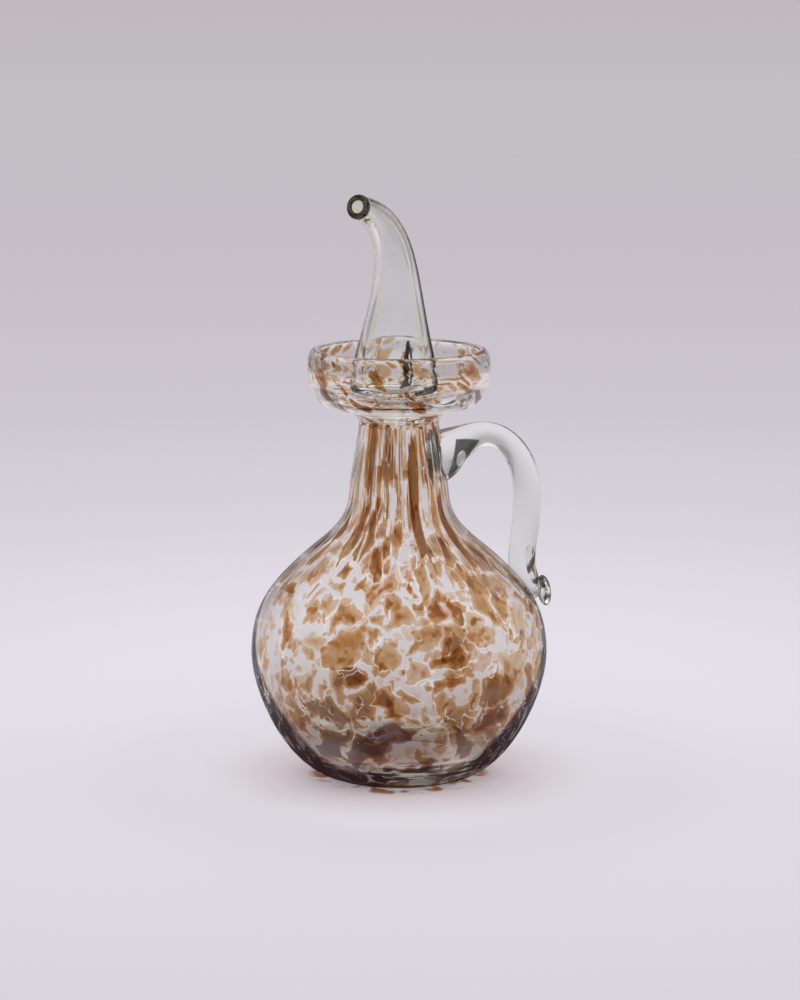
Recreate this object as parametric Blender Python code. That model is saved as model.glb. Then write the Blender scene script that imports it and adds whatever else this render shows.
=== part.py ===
"""Hand-blown glass oil bottle with a drip cup, a rod handle and a loose horn-shaped pourer.

The bottle is one blown piece: a round body drawn up into a neck that opens into a shallow cup.
A rod of clear glass, pressed on hot, makes the handle. The pourer is a hollow horn whose foot
rests on the floor of the cup. Its stem hangs in the throat, and a slit in its foot lets
what drips into the cup run back.

Sizes are in metres, +Z is up, and the origin is the middle of the flat underside.
The handle is on the +X side and the pourer's mouth leans towards -Y and -X.
"""

import math

import bmesh
import bpy
from mathutils import Matrix, Vector
from mathutils.geometry import interpolate_bezier

MM = 0.001
FIT_GAP = 0.3 * MM

# Bottle, outside
BASE_RADIUS = 25.1 * MM
BELLY_RADIUS = 59.4 * MM
BELLY_HEIGHT = 49.9 * MM
SHOULDER_RADIUS = 40.0 * MM
SHOULDER_HEIGHT = 88.2 * MM
NECK_FOOT_RADIUS = 19.85 * MM
NECK_FOOT_HEIGHT = 114.8 * MM
NECK_WAIST_RADIUS = 15.9 * MM
NECK_WAIST_HEIGHT = 142.0 * MM
CUP_HEEL_RADIUS = 29.1 * MM
CUP_HEEL_HEIGHT = 150.1 * MM
CUP_RADIUS = 36.3 * MM
CUP_RADIUS_HEIGHT = 165.0 * MM
RIM_RADIUS = 33.2 * MM
RIM_HEIGHT = 172.6 * MM

# Bottle, inside: the wall is thin above and thick at the bottom
FLOOR_THICKNESS = 6.3 * MM
BELLY_WALL = 2.8 * MM
SHOULDER_WALL = 2.2 * MM
NECK_WALL = 2.0 * MM
CUP_WALL = 2.1 * MM
CUP_FLOOR_HEIGHT = 152.2 * MM
CUP_FLOOR_RADIUS = 21.0 * MM
THROAT_RADIUS = NECK_WAIST_RADIUS - NECK_WALL

# Handle: a rod in an upright plane that passes through the bottle's axis
HANDLE_TURN = math.radians(14.0)
ROD_RADIUS = 5.5 * MM
ROD_CREST_RADIUS = 4.7 * MM
ROD_REACH = 53.3 * MM
ROD_REACH_HEIGHT = 109.7 * MM
HANDLE_BEND_REACH = 42.9 * MM
HANDLE_BEND_HEIGHT = 134.9 * MM
HANDLE_ROOT_DEPTH = 12.4 * MM
HANDLE_ROOT_HEIGHT = 126.5 * MM
HANDLE_ROOT_HALF_HEIGHT = 10.1 * MM
HANDLE_ROOT_WIDENING = 0.80
HANDLE_HEEL_REACH = 51.2 * MM
HANDLE_HEEL_HEIGHT = 84.0 * MM
HANDLE_END_REACH = 57.2 * MM
HANDLE_END_HEIGHT = 69.5 * MM
HANDLE_END_RADIUS = 4.3 * MM
CURL_REACH = 60.7 * MM
CURL_HEIGHT = 71.9 * MM
CURL_HALF_THICKNESS = 2.6 * MM
CURL_HALF_WIDTH = 4.6 * MM
CURL_HALF_HEIGHT = 6.3 * MM
CURL_TILT = math.radians(-8.0)

# Pourer
POURER_OFFSET = -2.0 * MM
POURER_LEAN = math.radians(239.0)
FOOT_HEIGHT = 153.0 * MM
FOOT_RADIUS = 17.4 * MM
HORN_REACH = 27.9 * MM
HORN_HEIGHT = 230.7 * MM
MOUTH_RISE = math.radians(12.5)
HORN_WAIST_ALONG = 47.9 * MM
HORN_WAIST_RADIUS = 9.1 * MM
MOUTH_RADIUS = 4.8 * MM
MOUTH_BORE = 2.4 * MM
HOLLOW_FOOT_RADIUS = 12.0 * MM
HOLLOW_WAIST_RADIUS = 6.15 * MM
STEM_RADIUS = 8.0 * MM
STEM_BORE = 5.5 * MM
STEM_LENGTH = 9.2 * MM
SLIT_TURN = math.radians(61.0)
SLIT_WIDTH = 3.2 * MM
SLIT_SHOULDER_HEIGHT = 166.0 * MM
SLIT_TOP_HEIGHT = 173.5 * MM

SIDES_OF_BOTTLE = 48
SIDES_OF_POURER = 24
SIDES_OF_ROD = 16


def clear_scene():
    for obj in list(bpy.data.objects):
        bpy.data.objects.remove(obj, do_unlink=True)


def glass(name, colour):
    material = bpy.data.materials.new(name)
    material.use_nodes = True
    shader = material.node_tree.nodes["Principled BSDF"]
    shader.inputs["Base Color"].default_value = (*colour, 1.0)
    shader.inputs["Roughness"].default_value = 0.03
    shader.inputs["Metallic"].default_value = 0.0
    shader.inputs["Transmission Weight"].default_value = 1.0
    shader.inputs["IOR"].default_value = 1.5
    return material


def knot(across, up, heading, before=0.35, after=0.35):
    """A point that a curve passes through, its heading in degrees (0 outwards, 90 up), and
    how far its handles reach, as shares of the straight distance to the next points."""
    direction = Vector((math.cos(math.radians(heading)), math.sin(math.radians(heading))))
    return Vector((across, up)), direction, before, after


def curve_through(knots, steps):
    """Points along the smooth curve through the knots, with so many steps from each to the next."""
    points = [knots[0][0]]
    for start, end, count in zip(knots, knots[1:], steps):
        reach = (end[0] - start[0]).length
        leaving = start[0] + start[1] * start[3] * reach
        arriving = end[0] - end[1] * end[2] * reach
        points += interpolate_bezier(start[0], leaving, arriving, end[0], count + 1)[1:]
    return points


def outer_outline(grow=0.0):
    """From the edge of the underside up to the crest of the rim."""
    knots = [
        knot(BASE_RADIUS + grow, -grow, 3, after=0.34),
        knot(BELLY_RADIUS + grow, BELLY_HEIGHT, 90, 0.29, 0.43),
        knot(SHOULDER_RADIUS + grow, SHOULDER_HEIGHT + grow, 137, 0.38, 0.41),
        knot(NECK_FOOT_RADIUS + grow, NECK_FOOT_HEIGHT, 94, 0.39, 0.33),
        knot(NECK_WAIST_RADIUS + grow, NECK_WAIST_HEIGHT, 97, 0.35, 0.40),
        knot(CUP_HEEL_RADIUS + grow, CUP_HEEL_HEIGHT - grow, 19, 0.37, 0.36),
        knot(CUP_RADIUS + grow, CUP_RADIUS_HEIGHT, 90, 0.36, 0.37),
        knot(RIM_RADIUS, RIM_HEIGHT + grow, 175, 0.36),
    ]
    return curve_through(knots, (6, 5, 5, 3, 4, 3, 4))


def inner_outline():
    """From the crest of the rim down through cup, throat and neck to the middle of the floor."""
    knots = [
        knot(RIM_RADIUS, RIM_HEIGHT, 185, after=0.30),
        knot(CUP_RADIUS - CUP_WALL, CUP_RADIUS_HEIGHT - 1.0 * MM, 268, 0.45, 0.45),
        knot(CUP_FLOOR_RADIUS, CUP_FLOOR_HEIGHT, 183, 0.42, 0.35),
        knot(THROAT_RADIUS, NECK_WAIST_HEIGHT, 271, 0.45, 0.33),
        knot(NECK_FOOT_RADIUS - NECK_WALL, NECK_FOOT_HEIGHT, 274, 0.33, 0.39),
        knot(SHOULDER_RADIUS - 0.7 * SHOULDER_WALL, SHOULDER_HEIGHT - 0.7 * SHOULDER_WALL, 317, 0.41, 0.38),
        knot(BELLY_RADIUS - BELLY_WALL, BELLY_HEIGHT + 2.0 * MM, 270, 0.43, 0.45),
        knot(0.0, FLOOR_THICKNESS, 180, 0.47),
    ]
    return curve_through(knots, (3, 4, 4, 2, 4, 4, 5))


def new_object(name, shape, material):
    mesh = bpy.data.meshes.new(name)
    bmesh.ops.recalc_face_normals(shape, faces=shape.faces)
    shape.to_mesh(mesh)
    shape.free()
    obj = bpy.data.objects.new(name, mesh)
    bpy.context.scene.collection.objects.link(obj)
    if material:
        mesh.materials.append(material)
        mesh.shade_smooth()
        mesh.set_sharp_from_angle(angle=math.radians(50))
    return obj


def turned(name, outline, material=None):
    """A closed body turned about the Z axis from an outline that starts and ends on it."""
    shape = bmesh.new()
    verts = [shape.verts.new((point.x, 0.0, point.y)) for point in outline]
    edges = [shape.edges.new(pair) for pair in zip(verts, verts[1:])]
    bmesh.ops.spin(
        shape,
        geom=verts + edges,
        cent=(0, 0, 0),
        axis=(0, 0, 1),
        angle=math.tau,
        steps=SIDES_OF_BOTTLE,
        use_merge=True,
    )
    bmesh.ops.remove_doubles(shape, verts=shape.verts, dist=0.001 * MM)
    return new_object(name, shape, material)


def lofted(name, rings, material, ring_closed=False):
    """A closed body from rings of points: capped at both ends, or its last ring joined to its first."""
    shape = bmesh.new()
    loops = [[shape.verts.new(point) for point in ring] for ring in rings]
    pairs = list(zip(loops, loops[1:]))
    if ring_closed:
        pairs.append((loops[-1], loops[0]))
    for lower, upper in pairs:
        for i, corner in enumerate(lower):
            j = (i + 1) % len(lower)
            shape.faces.new((corner, lower[j], upper[j], upper[i]))
    if not ring_closed:
        shape.faces.new(loops[0])
        shape.faces.new(loops[-1])
    return new_object(name, shape, material)


def apply_boolean(obj, other, operation):
    """Cuts or joins for good, and removes the other object."""
    modifier = obj.modifiers.new(operation.title(), "BOOLEAN")
    modifier.operation = operation
    modifier.solver = "EXACT"
    modifier.object = other
    graph = bpy.context.evaluated_depsgraph_get()
    result = bpy.data.meshes.new_from_object(obj.evaluated_get(graph))
    obj.modifiers.clear()
    obj.data = result
    bpy.data.objects.remove(other, do_unlink=True)


def make_bottle():
    outline = [Vector((0.0, 0.0))] + outer_outline() + inner_outline()[1:]
    return turned("bottle", outline, glass("amber_flecked_glass", (0.62, 0.40, 0.22)))


def point_in_handle_plane(across, up, aside=0.0):
    outwards = Vector((math.cos(HANDLE_TURN), math.sin(HANDLE_TURN), 0.0))
    sideways = Vector((-math.sin(HANDLE_TURN), math.cos(HANDLE_TURN), 0.0))
    return outwards * across + sideways * aside + Vector((0.0, 0.0, up))


def handle_path():
    """The middle of the rod, from inside the neck, over the crest and down to the shoulder."""
    knots = [
        knot(HANDLE_ROOT_DEPTH, HANDLE_ROOT_HEIGHT, 28, after=0.33),
        knot(HANDLE_BEND_REACH, HANDLE_BEND_HEIGHT, -34, 0.38, 0.31),
        knot(ROD_REACH, ROD_REACH_HEIGHT, 270, 0.40, 0.51),
        knot(HANDLE_HEEL_REACH, HANDLE_HEEL_HEIGHT, 272, 0.31, 0.35),
        knot(HANDLE_END_REACH, HANDLE_END_HEIGHT, 305, 0.30),
    ]
    return curve_through(knots, (7, 7, 4, 4))


def rod_half_heights(path):
    """The rod's half height at each point of its path: a flare on the neck, thinnest at the crest."""
    lengths = [0.0]
    for start, end in zip(path, path[1:]):
        lengths.append(lengths[-1] + (end - start).length)
    knots = [
        knot(0.0, HANDLE_ROOT_HALF_HEIGHT, 0),
        knot(0.08 * lengths[-1], HANDLE_ROOT_HALF_HEIGHT - 0.7 * MM, -20),
        knot(0.31 * lengths[-1], ROD_CREST_RADIUS, 0, 0.55),
        knot(0.50 * lengths[-1], ROD_RADIUS, 0),
        knot(0.84 * lengths[-1], ROD_RADIUS, 0),
        knot(lengths[-1], HANDLE_END_RADIUS, -20),
    ]
    profile = curve_through(knots, (12, 12, 12, 12, 12))
    heights = []
    for length in lengths:
        after = next((i for i, point in enumerate(profile) if point.x >= length), len(profile) - 1)
        before = max(after - 1, 0)
        span = profile[after].x - profile[before].x
        share = (length - profile[before].x) / span if span else 0.0
        heights.append(profile[before].y + share * (profile[after].y - profile[before].y))
    return heights


def make_handle():
    path = handle_path()
    rings = []
    for i, (middle, half_height) in enumerate(zip(path, rod_half_heights(path))):
        ahead = path[min(i + 1, len(path) - 1)] - path[max(i - 1, 0)]
        across = Vector((-ahead.y, ahead.x)).normalized()
        half_width = max(half_height * HANDLE_ROOT_WIDENING, ROD_CREST_RADIUS + 0.2 * MM)
        if half_height <= ROD_RADIUS + 0.1 * MM:
            half_width = max(half_width, half_height)
        ring = []
        for k in range(SIDES_OF_ROD):
            angle = math.tau * k / SIDES_OF_ROD
            spot = middle + across * half_height * math.cos(angle)
            ring.append(point_in_handle_plane(spot.x, spot.y, half_width * math.sin(angle)))
        rings.append(ring)
    handle = lofted("handle", rings, glass("clear_rod_glass", (0.80, 0.84, 0.82)))
    apply_boolean(handle, make_curl(), "UNION")
    clearance = outer_outline(FIT_GAP)
    outline = [Vector((0.0, clearance[0].y))] + clearance + [Vector((0.0, clearance[-1].y))]
    apply_boolean(handle, turned("bottle_clearance", outline), "DIFFERENCE")
    return handle


def make_curl():
    """The rod's end, folded up on itself at the foot of the handle."""
    shape = bmesh.new()
    bmesh.ops.create_uvsphere(shape, u_segments=SIDES_OF_ROD, v_segments=10, radius=1.0)
    size = Matrix.Diagonal((CURL_HALF_THICKNESS, CURL_HALF_WIDTH, CURL_HALF_HEIGHT, 1.0))
    place = Matrix.Translation(point_in_handle_plane(CURL_REACH, CURL_HEIGHT))
    turn = Matrix.Rotation(HANDLE_TURN, 4, "Z") @ Matrix.Rotation(CURL_TILT, 4, "Y")
    shape.transform(place @ turn @ size)
    return new_object("curl", shape, None)


def horn_spine():
    """The middle of the horn, as distance leant and height."""
    knots = [
        knot(0.0, FOOT_HEIGHT, 90, after=0.47),
        knot(HORN_REACH, HORN_HEIGHT, math.degrees(MOUTH_RISE), 0.51),
    ]
    return curve_through(knots, (40,))


def spine_place(spine, along):
    """The spine's point and direction at a distance from the foot, straight down below it."""
    if along <= 0.0:
        return Vector((0.0, FOOT_HEIGHT + along)), Vector((0.0, 1.0))
    for start, end in zip(spine, spine[1:]):
        step = (end - start).length
        if along <= step:
            return start.lerp(end, along / step), (end - start).normalized()
        along -= step
    direction = (spine[-1] - spine[-2]).normalized()
    return spine[-1] + direction * along, direction


def horn_length(spine):
    return sum((end - start).length for start, end in zip(spine, spine[1:]))


def horn_outline(length):
    """Once round the horn's wall, as radius and distance from the foot."""
    outside = [
        knot(STEM_RADIUS, -STEM_LENGTH, 90, after=0.35),
        knot(STEM_RADIUS + 0.2 * MM, -3.2 * MM, 80, 0.35, 0.45),
        knot(FOOT_RADIUS - 1.6 * MM, -0.8 * MM, 10, 0.35, 0.35),
        knot(FOOT_RADIUS, 3.0 * MM, 90, 0.45, 0.28),
        knot(HORN_WAIST_RADIUS, HORN_WAIST_ALONG, 99, 0.60, 0.35),
        knot(MOUTH_RADIUS - 0.1 * MM, length - 3.5 * MM, 95, 0.30, 0.35),
        knot(0.5 * (MOUTH_RADIUS + MOUTH_BORE), length, 180, 0.55),
    ]
    inside = [
        knot(0.5 * (MOUTH_RADIUS + MOUTH_BORE), length, 180, after=0.55),
        knot(MOUTH_BORE, length - 2.0 * MM, 271, 0.45, 0.50),
        knot(HOLLOW_WAIST_RADIUS, HORN_WAIST_ALONG, 276, 0.50, 0.50),
        knot(HOLLOW_FOOT_RADIUS, 6.0 * MM, 270, 0.40, 0.45),
        knot(STEM_BORE + 1.2 * MM, 0.8 * MM, 185, 0.45, 0.35),
        knot(STEM_BORE, -2.0 * MM, 270, 0.45, 0.35),
        knot(STEM_BORE, -STEM_LENGTH, 270, 0.35),
    ]
    outer_points = curve_through(outside, (1, 2, 2, 5, 6, 4))
    inner_points = curve_through(inside, (2, 6, 4, 3, 2, 1))
    return outer_points + inner_points[1:]


def make_pourer():
    spine = horn_spine()
    lean = Vector((math.cos(POURER_LEAN), math.sin(POURER_LEAN), 0.0))
    sideways = Vector((-lean.y, lean.x, 0.0))
    middle_of_foot = Vector((POURER_OFFSET, 0.0, 0.0))
    rings = []
    for radius, along in horn_outline(horn_length(spine)):
        place, direction = spine_place(spine, along)
        centre = middle_of_foot + lean * place.x + Vector((0.0, 0.0, place.y))
        across = lean * direction.y - Vector((0.0, 0.0, direction.x))
        ring = []
        for k in range(SIDES_OF_POURER):
            angle = math.tau * k / SIDES_OF_POURER
            ring.append(centre + radius * (across * math.cos(angle) + sideways * math.sin(angle)))
        rings.append(ring)
    pourer = lofted("spout", rings, glass("clear_horn_glass", (0.78, 0.81, 0.78)), ring_closed=True)
    apply_boolean(pourer, make_slit_cutter(), "DIFFERENCE")
    return pourer


def make_slit_cutter():
    """A blade, wide at the foot and pointed at the top, that cuts one side of the horn's wall."""
    outwards = Vector((math.cos(SLIT_TURN), math.sin(SLIT_TURN), 0.0))
    sideways = Vector((-outwards.y, outwards.x, 0.0))
    middle_of_foot = Vector((POURER_OFFSET, 0.0, 0.0))
    corners = (
        (-0.5 * SLIT_WIDTH, FOOT_HEIGHT - 4.0 * MM),
        (0.5 * SLIT_WIDTH, FOOT_HEIGHT - 4.0 * MM),
        (0.5 * SLIT_WIDTH, SLIT_SHOULDER_HEIGHT),
        (0.0, SLIT_TOP_HEIGHT),
        (-0.5 * SLIT_WIDTH, SLIT_SHOULDER_HEIGHT),
    )
    rings = []
    for reach in (STEM_RADIUS + 1.4 * MM, FOOT_RADIUS + 2.0 * MM):
        start = middle_of_foot + outwards * reach
        rings.append([start + sideways * aside + Vector((0.0, 0.0, up)) for aside, up in corners])
    return lofted("slit", rings, None)


def main():
    clear_scene()
    make_bottle()
    make_handle()
    make_pourer()


main()
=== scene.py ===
# %% [markdown]
# # An oil bottle of flecked blown glass
# The bottle is one bubble of clear glass that was rolled over amber chips and then blown. Its neck
# opens into a shallow cup that catches drips. A clear rod, pressed on while hot, is the handle.
# A hollow horn of clear glass stands loose in the cup, and the oil is poured through it.
#
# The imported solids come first. They fix every size, and the glass made here takes their place.

# %% Load the solids and keep their box
import math
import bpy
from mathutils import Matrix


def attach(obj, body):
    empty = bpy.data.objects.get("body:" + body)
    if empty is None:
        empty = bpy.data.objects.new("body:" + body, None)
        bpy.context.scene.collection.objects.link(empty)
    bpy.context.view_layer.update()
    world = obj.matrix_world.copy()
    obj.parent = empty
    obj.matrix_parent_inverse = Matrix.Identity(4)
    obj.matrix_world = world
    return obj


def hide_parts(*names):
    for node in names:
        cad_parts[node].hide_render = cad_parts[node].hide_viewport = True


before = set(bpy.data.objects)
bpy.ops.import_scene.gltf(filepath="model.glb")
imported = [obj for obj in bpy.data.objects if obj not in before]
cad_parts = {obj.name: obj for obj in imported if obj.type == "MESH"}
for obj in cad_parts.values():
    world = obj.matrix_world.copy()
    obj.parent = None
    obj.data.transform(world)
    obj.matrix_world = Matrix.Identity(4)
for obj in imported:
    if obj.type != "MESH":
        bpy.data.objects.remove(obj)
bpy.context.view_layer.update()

from types import SimpleNamespace

import bpy
import numpy as np
from mathutils import Vector
from mathutils.kdtree import KDTree

MM = 0.001

# %% [markdown]
# ## Helpers for turned glass
# Blown glass is shaped while it turns, so each wall here is an outline spun about an axis.
# An outline is a Bezier curve through a few knots. A knot holds its distance from the axis, its
# height, its heading in degrees (0 outwards, 90 up) and how far its two handles reach, as shares
# of the distance to the next knot. A few knots give a smoother wall than many typed points.

# %% Curves through knots
def select_only(piece):
    if bpy.context.mode != "OBJECT":
        bpy.ops.object.mode_set(mode="OBJECT")
    bpy.ops.object.select_all(action="DESELECT")
    piece.select_set(True)
    bpy.context.view_layer.objects.active = piece


def curve_through(name, knots, place, steps, closed=False):
    """A Bezier curve through the knots. place turns a distance and a height into a point."""
    bpy.ops.object.select_all(action="DESELECT")
    bpy.ops.curve.primitive_bezier_curve_add(radius=0.01, location=(0, 0, 0))
    curve = bpy.context.object
    curve.name = name
    curve.data.dimensions = "3D"
    curve.data.twist_mode = "MINIMUM"
    curve.data.resolution_u = steps
    spline = curve.data.splines[0]
    spline.use_cyclic_u = closed
    spline.bezier_points.add(len(knots) - 2)
    for i, (across, up, heading, before, after) in enumerate(knots):
        here = Vector((across, up))
        ahead = Vector((math.cos(math.radians(heading)), math.sin(math.radians(heading))))
        last = knots[i - 1] if i > 0 or closed else knots[i]
        following = knots[(i + 1) % len(knots)] if i + 1 < len(knots) or closed else knots[i]
        to_last = (here - Vector(last[:2])).length
        to_next = (here - Vector(following[:2])).length
        point = spline.bezier_points[i]
        point.handle_left_type = point.handle_right_type = "FREE"
        point.co = place(*here)
        point.handle_left = place(*(here - ahead * before * to_last))
        point.handle_right = place(*(here + ahead * after * to_next))
    return curve


def spin_outline(curve, sides):
    """The curve as mesh edges, spun once about the Z axis, with its poles and its seam closed."""
    select_only(curve)
    bpy.ops.object.convert(target="MESH")
    piece = bpy.context.object
    bpy.ops.object.mode_set(mode="EDIT")
    bpy.ops.mesh.select_all(action="SELECT")
    bpy.ops.mesh.spin(steps=sides, angle=math.tau, use_auto_merge=True, center=(0, 0, 0), axis=(0, 0, 1))
    bpy.ops.mesh.select_all(action="SELECT")
    bpy.ops.mesh.remove_doubles(threshold=0.005 * MM)
    bpy.ops.mesh.normals_make_consistent(inside=False)
    bpy.ops.object.mode_set(mode="OBJECT")
    print(piece.name, len(piece.data.polygons), "faces")
    return piece


def in_outline(across, up):
    return Vector((across, 0.0, up))


# %% Modifiers, applied as they are added
def apply_modifier(piece, kind, **settings):
    select_only(piece)
    bpy.ops.object.modifier_add(type=kind)
    modifier = piece.modifiers[-1]
    for name, value in settings.items():
        setattr(modifier, name, value)
    bpy.ops.object.modifier_apply(modifier=modifier.name)
    return piece


def cut_or_join(piece, other, operation):
    apply_modifier(piece, "BOOLEAN", operation=operation, object=other, solver="EXACT")
    bpy.data.objects.remove(other, do_unlink=True)
    return piece


# %% [markdown]
# ## The blown body, neck and cup
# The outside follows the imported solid. The inside runs from the crest of the rim down through the
# cup, the throat and the neck to the middle of the floor. The wall is thin above and thick below,
# as the glass sinks while it is soft, and that thick bottom is what makes the dark heavy foot.

# %% Outlines of the bottle
BASE_RADIUS, BELLY_RADIUS, SHOULDER_RADIUS = 25.1 * MM, 59.4 * MM, 40.0 * MM
NECK_FOOT_RADIUS, NECK_WAIST_RADIUS = 19.85 * MM, 15.9 * MM
CUP_HEEL_RADIUS, CUP_RADIUS, RIM_RADIUS = 29.1 * MM, 36.3 * MM, 33.2 * MM
RIM_HEIGHT = 172.6 * MM
NECK_WAIST_HEIGHT = 142.0 * MM
FLOOR_THICKNESS, HEEL_THICKNESS = 4.2 * MM, 5.2 * MM
NECK_WALL, BELLY_WALL, CUP_WALL = 2.0 * MM, 2.8 * MM, 2.1 * MM
THROAT_RADIUS = NECK_WAIST_RADIUS - NECK_WALL


def outer_knots(grow=0.0):
    """From the middle of the underside up to the crest of the rim, moved out by grow."""
    return [
        (0.0, -grow, 0, 0.3, 0.3),
        (BASE_RADIUS + grow, -grow, 3, 0.3, 0.33),
        (BELLY_RADIUS + grow, 49.9 * MM, 90, 0.26, 0.43),
        (SHOULDER_RADIUS + grow, 88.2 * MM + grow, 137, 0.38, 0.41),
        (NECK_FOOT_RADIUS + grow, 114.8 * MM, 94, 0.39, 0.33),
        (NECK_WAIST_RADIUS + grow, NECK_WAIST_HEIGHT, 97, 0.35, 0.40),
        (CUP_HEEL_RADIUS + grow, 150.1 * MM - grow, 19, 0.37, 0.36),
        (CUP_RADIUS + grow, 165.0 * MM, 90, 0.36, 0.37),
        (RIM_RADIUS, RIM_HEIGHT + grow, 180, 0.36, 0.36),
    ]


def inner_knots():
    """From just inside the crest of the rim down to the middle of the floor."""
    return [
        (CUP_RADIUS - CUP_WALL, 164.0 * MM, 268, 0.42, 0.45),
        (21.0 * MM, 152.2 * MM, 183, 0.42, 0.35),
        (THROAT_RADIUS, NECK_WAIST_HEIGHT, 271, 0.45, 0.33),
        (NECK_FOOT_RADIUS - NECK_WALL, 114.8 * MM, 274, 0.33, 0.39),
        (SHOULDER_RADIUS - 1.5 * MM, 86.7 * MM, 317, 0.41, 0.38),
        (BELLY_RADIUS - BELLY_WALL, 52.5 * MM, 270, 0.43, 0.42),
        (BASE_RADIUS - 1.0 * MM, HEEL_THICKNESS, 184, 0.29, 0.3),
        (0.0, FLOOR_THICKNESS, 180, 0.4, 0.3),
    ]


# %% Spin the bottle
BOTTLE_SIDES = 160
wall_knots = outer_knots() + inner_knots()
wall_curve = curve_through("bottle_glass", wall_knots, in_outline, steps=14)
bottle = spin_outline(wall_curve, BOTTLE_SIDES)
print("bottle is", [round(side / MM, 1) for side in bottle.dimensions], "mm")

# %% [markdown]
# ## The handle
# The handle is a solid rod. Its hot end is pressed on the neck, where it spreads into a flare. It
# is then drawn up and over in an arch and stuck to the shoulder, and what is left is folded up into
# a small curl. The rod is turned straight here and then bent along a curve, as it was in the hands.

# %% Turn a straight rod and bend it
HANDLE_TURN = math.radians(14.0)
FLARE_RADIUS, ROD_NECK_RADIUS, ROD_RADIUS, ROD_END_RADIUS = 10.1 * MM, 4.7 * MM, 5.5 * MM, 4.2 * MM


def in_handle_plane(across, up):
    return Vector((across * math.cos(HANDLE_TURN), across * math.sin(HANDLE_TURN), up))


def bend_along(piece, path):
    apply_modifier(piece, "CURVE", object=path, deform_axis="POS_Z")
    bpy.data.objects.remove(path, do_unlink=True)
    return piece


handle_path = curve_through(
    "handle_path",
    [
        (12.4 * MM, 126.5 * MM, 28, 0.3, 0.33),
        (42.9 * MM, 134.9 * MM, -34, 0.38, 0.31),
        (53.3 * MM, 109.7 * MM, 270, 0.40, 0.51),
        (51.2 * MM, 84.0 * MM, 272, 0.31, 0.35),
        (57.2 * MM, 69.5 * MM, 305, 0.30, 0.3),
    ],
    in_handle_plane,
    steps=24,
)
rod_length = handle_path.data.splines[0].calc_length()
rod_curve = curve_through(
    "handle_rod",
    [
        (0.0, 0.0, 0, 0.3, 0.3),
        (FLARE_RADIUS, 0.2 * MM, 90, 0.3, 0.35),
        (9.4 * MM, 0.08 * rod_length, 108, 0.35, 0.35),
        (ROD_NECK_RADIUS, 0.31 * rod_length, 90, 0.55, 0.35),
        (ROD_RADIUS, 0.50 * rod_length, 90, 0.35, 0.35),
        (ROD_RADIUS, 0.84 * rod_length, 90, 0.35, 0.35),
        (ROD_END_RADIUS, rod_length - 2.5 * MM, 105, 0.35, 0.5),
        (0.0, rod_length, 180, 0.5, 0.3),
    ],
    in_outline,
    steps=12,
)
rod = bend_along(spin_outline(rod_curve, 64), handle_path)
print("rod is", round(rod_length / MM, 1), "mm long,", [round(side / MM, 1) for side in rod.dimensions])

# %% Fuse the rod, its curl and the bottle
CURL_HALF_SIZES = (2.6 * MM, 4.6 * MM, 6.3 * MM)
CURL_TILT = math.radians(-8.0)
FUSE_DEPTH = 0.9 * MM  # how far the rod sinks into the wall, so that its inner part is cut off

bpy.ops.mesh.primitive_uv_sphere_add(segments=48, ring_count=24, radius=1.0)
curl = bpy.context.object
select_only(curl)
bpy.ops.transform.resize(value=CURL_HALF_SIZES)
bpy.ops.object.transform_apply(location=True, rotation=True, scale=True)
curl.rotation_euler = (0.0, CURL_TILT, HANDLE_TURN)
curl.location = in_handle_plane(60.7 * MM, 71.9 * MM)
bpy.ops.object.transform_apply(location=True, rotation=True, scale=True)
cut_or_join(rod, curl, "UNION")

core_knots = outer_knots(-FUSE_DEPTH)
core_knots[-1] = (0.0, RIM_HEIGHT, 180, 0.36, 0.3)
core = spin_outline(curve_through("core", core_knots, in_outline, steps=14), BOTTLE_SIDES)
cut_or_join(rod, core, "DIFFERENCE")
cut_or_join(bottle, rod, "UNION")
bottle.name = "bottle_glass"
print("fused glass:", len(bottle.data.polygons), "faces")

# %% [markdown]
# ## The pourer
# The pourer is a hollow horn with a round foot. It was drawn from a tube, so the wall is spun
# straight and then bent along its lean. A slit in the foot lets the drips run back, and it is cut
# after the bend.

# %% Spin the horn's wall straight and bend it
POURER_OFFSET = -2.0 * MM
POURER_LEAN = math.radians(239.0)
FOOT_HEIGHT, STEM_DROP = 153.0 * MM, 12.0 * MM
FOOT_RADIUS, STEM_RADIUS, STEM_BORE = 17.4 * MM, 8.0 * MM, 5.5 * MM
MOUTH_RADIUS, MOUTH_BORE = 4.8 * MM, 2.4 * MM
MOUTH_REACH, MOUTH_HEIGHT = 27.9 * MM, 230.7 * MM
MOUTH_RISE = 12.5  # degrees
STEM_END, WAIST = STEM_DROP - 8.4 * MM, STEM_DROP + 47.9 * MM


def in_lean_plane(across, up):
    return Vector((POURER_OFFSET + across * math.cos(POURER_LEAN), across * math.sin(POURER_LEAN), up))


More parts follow.
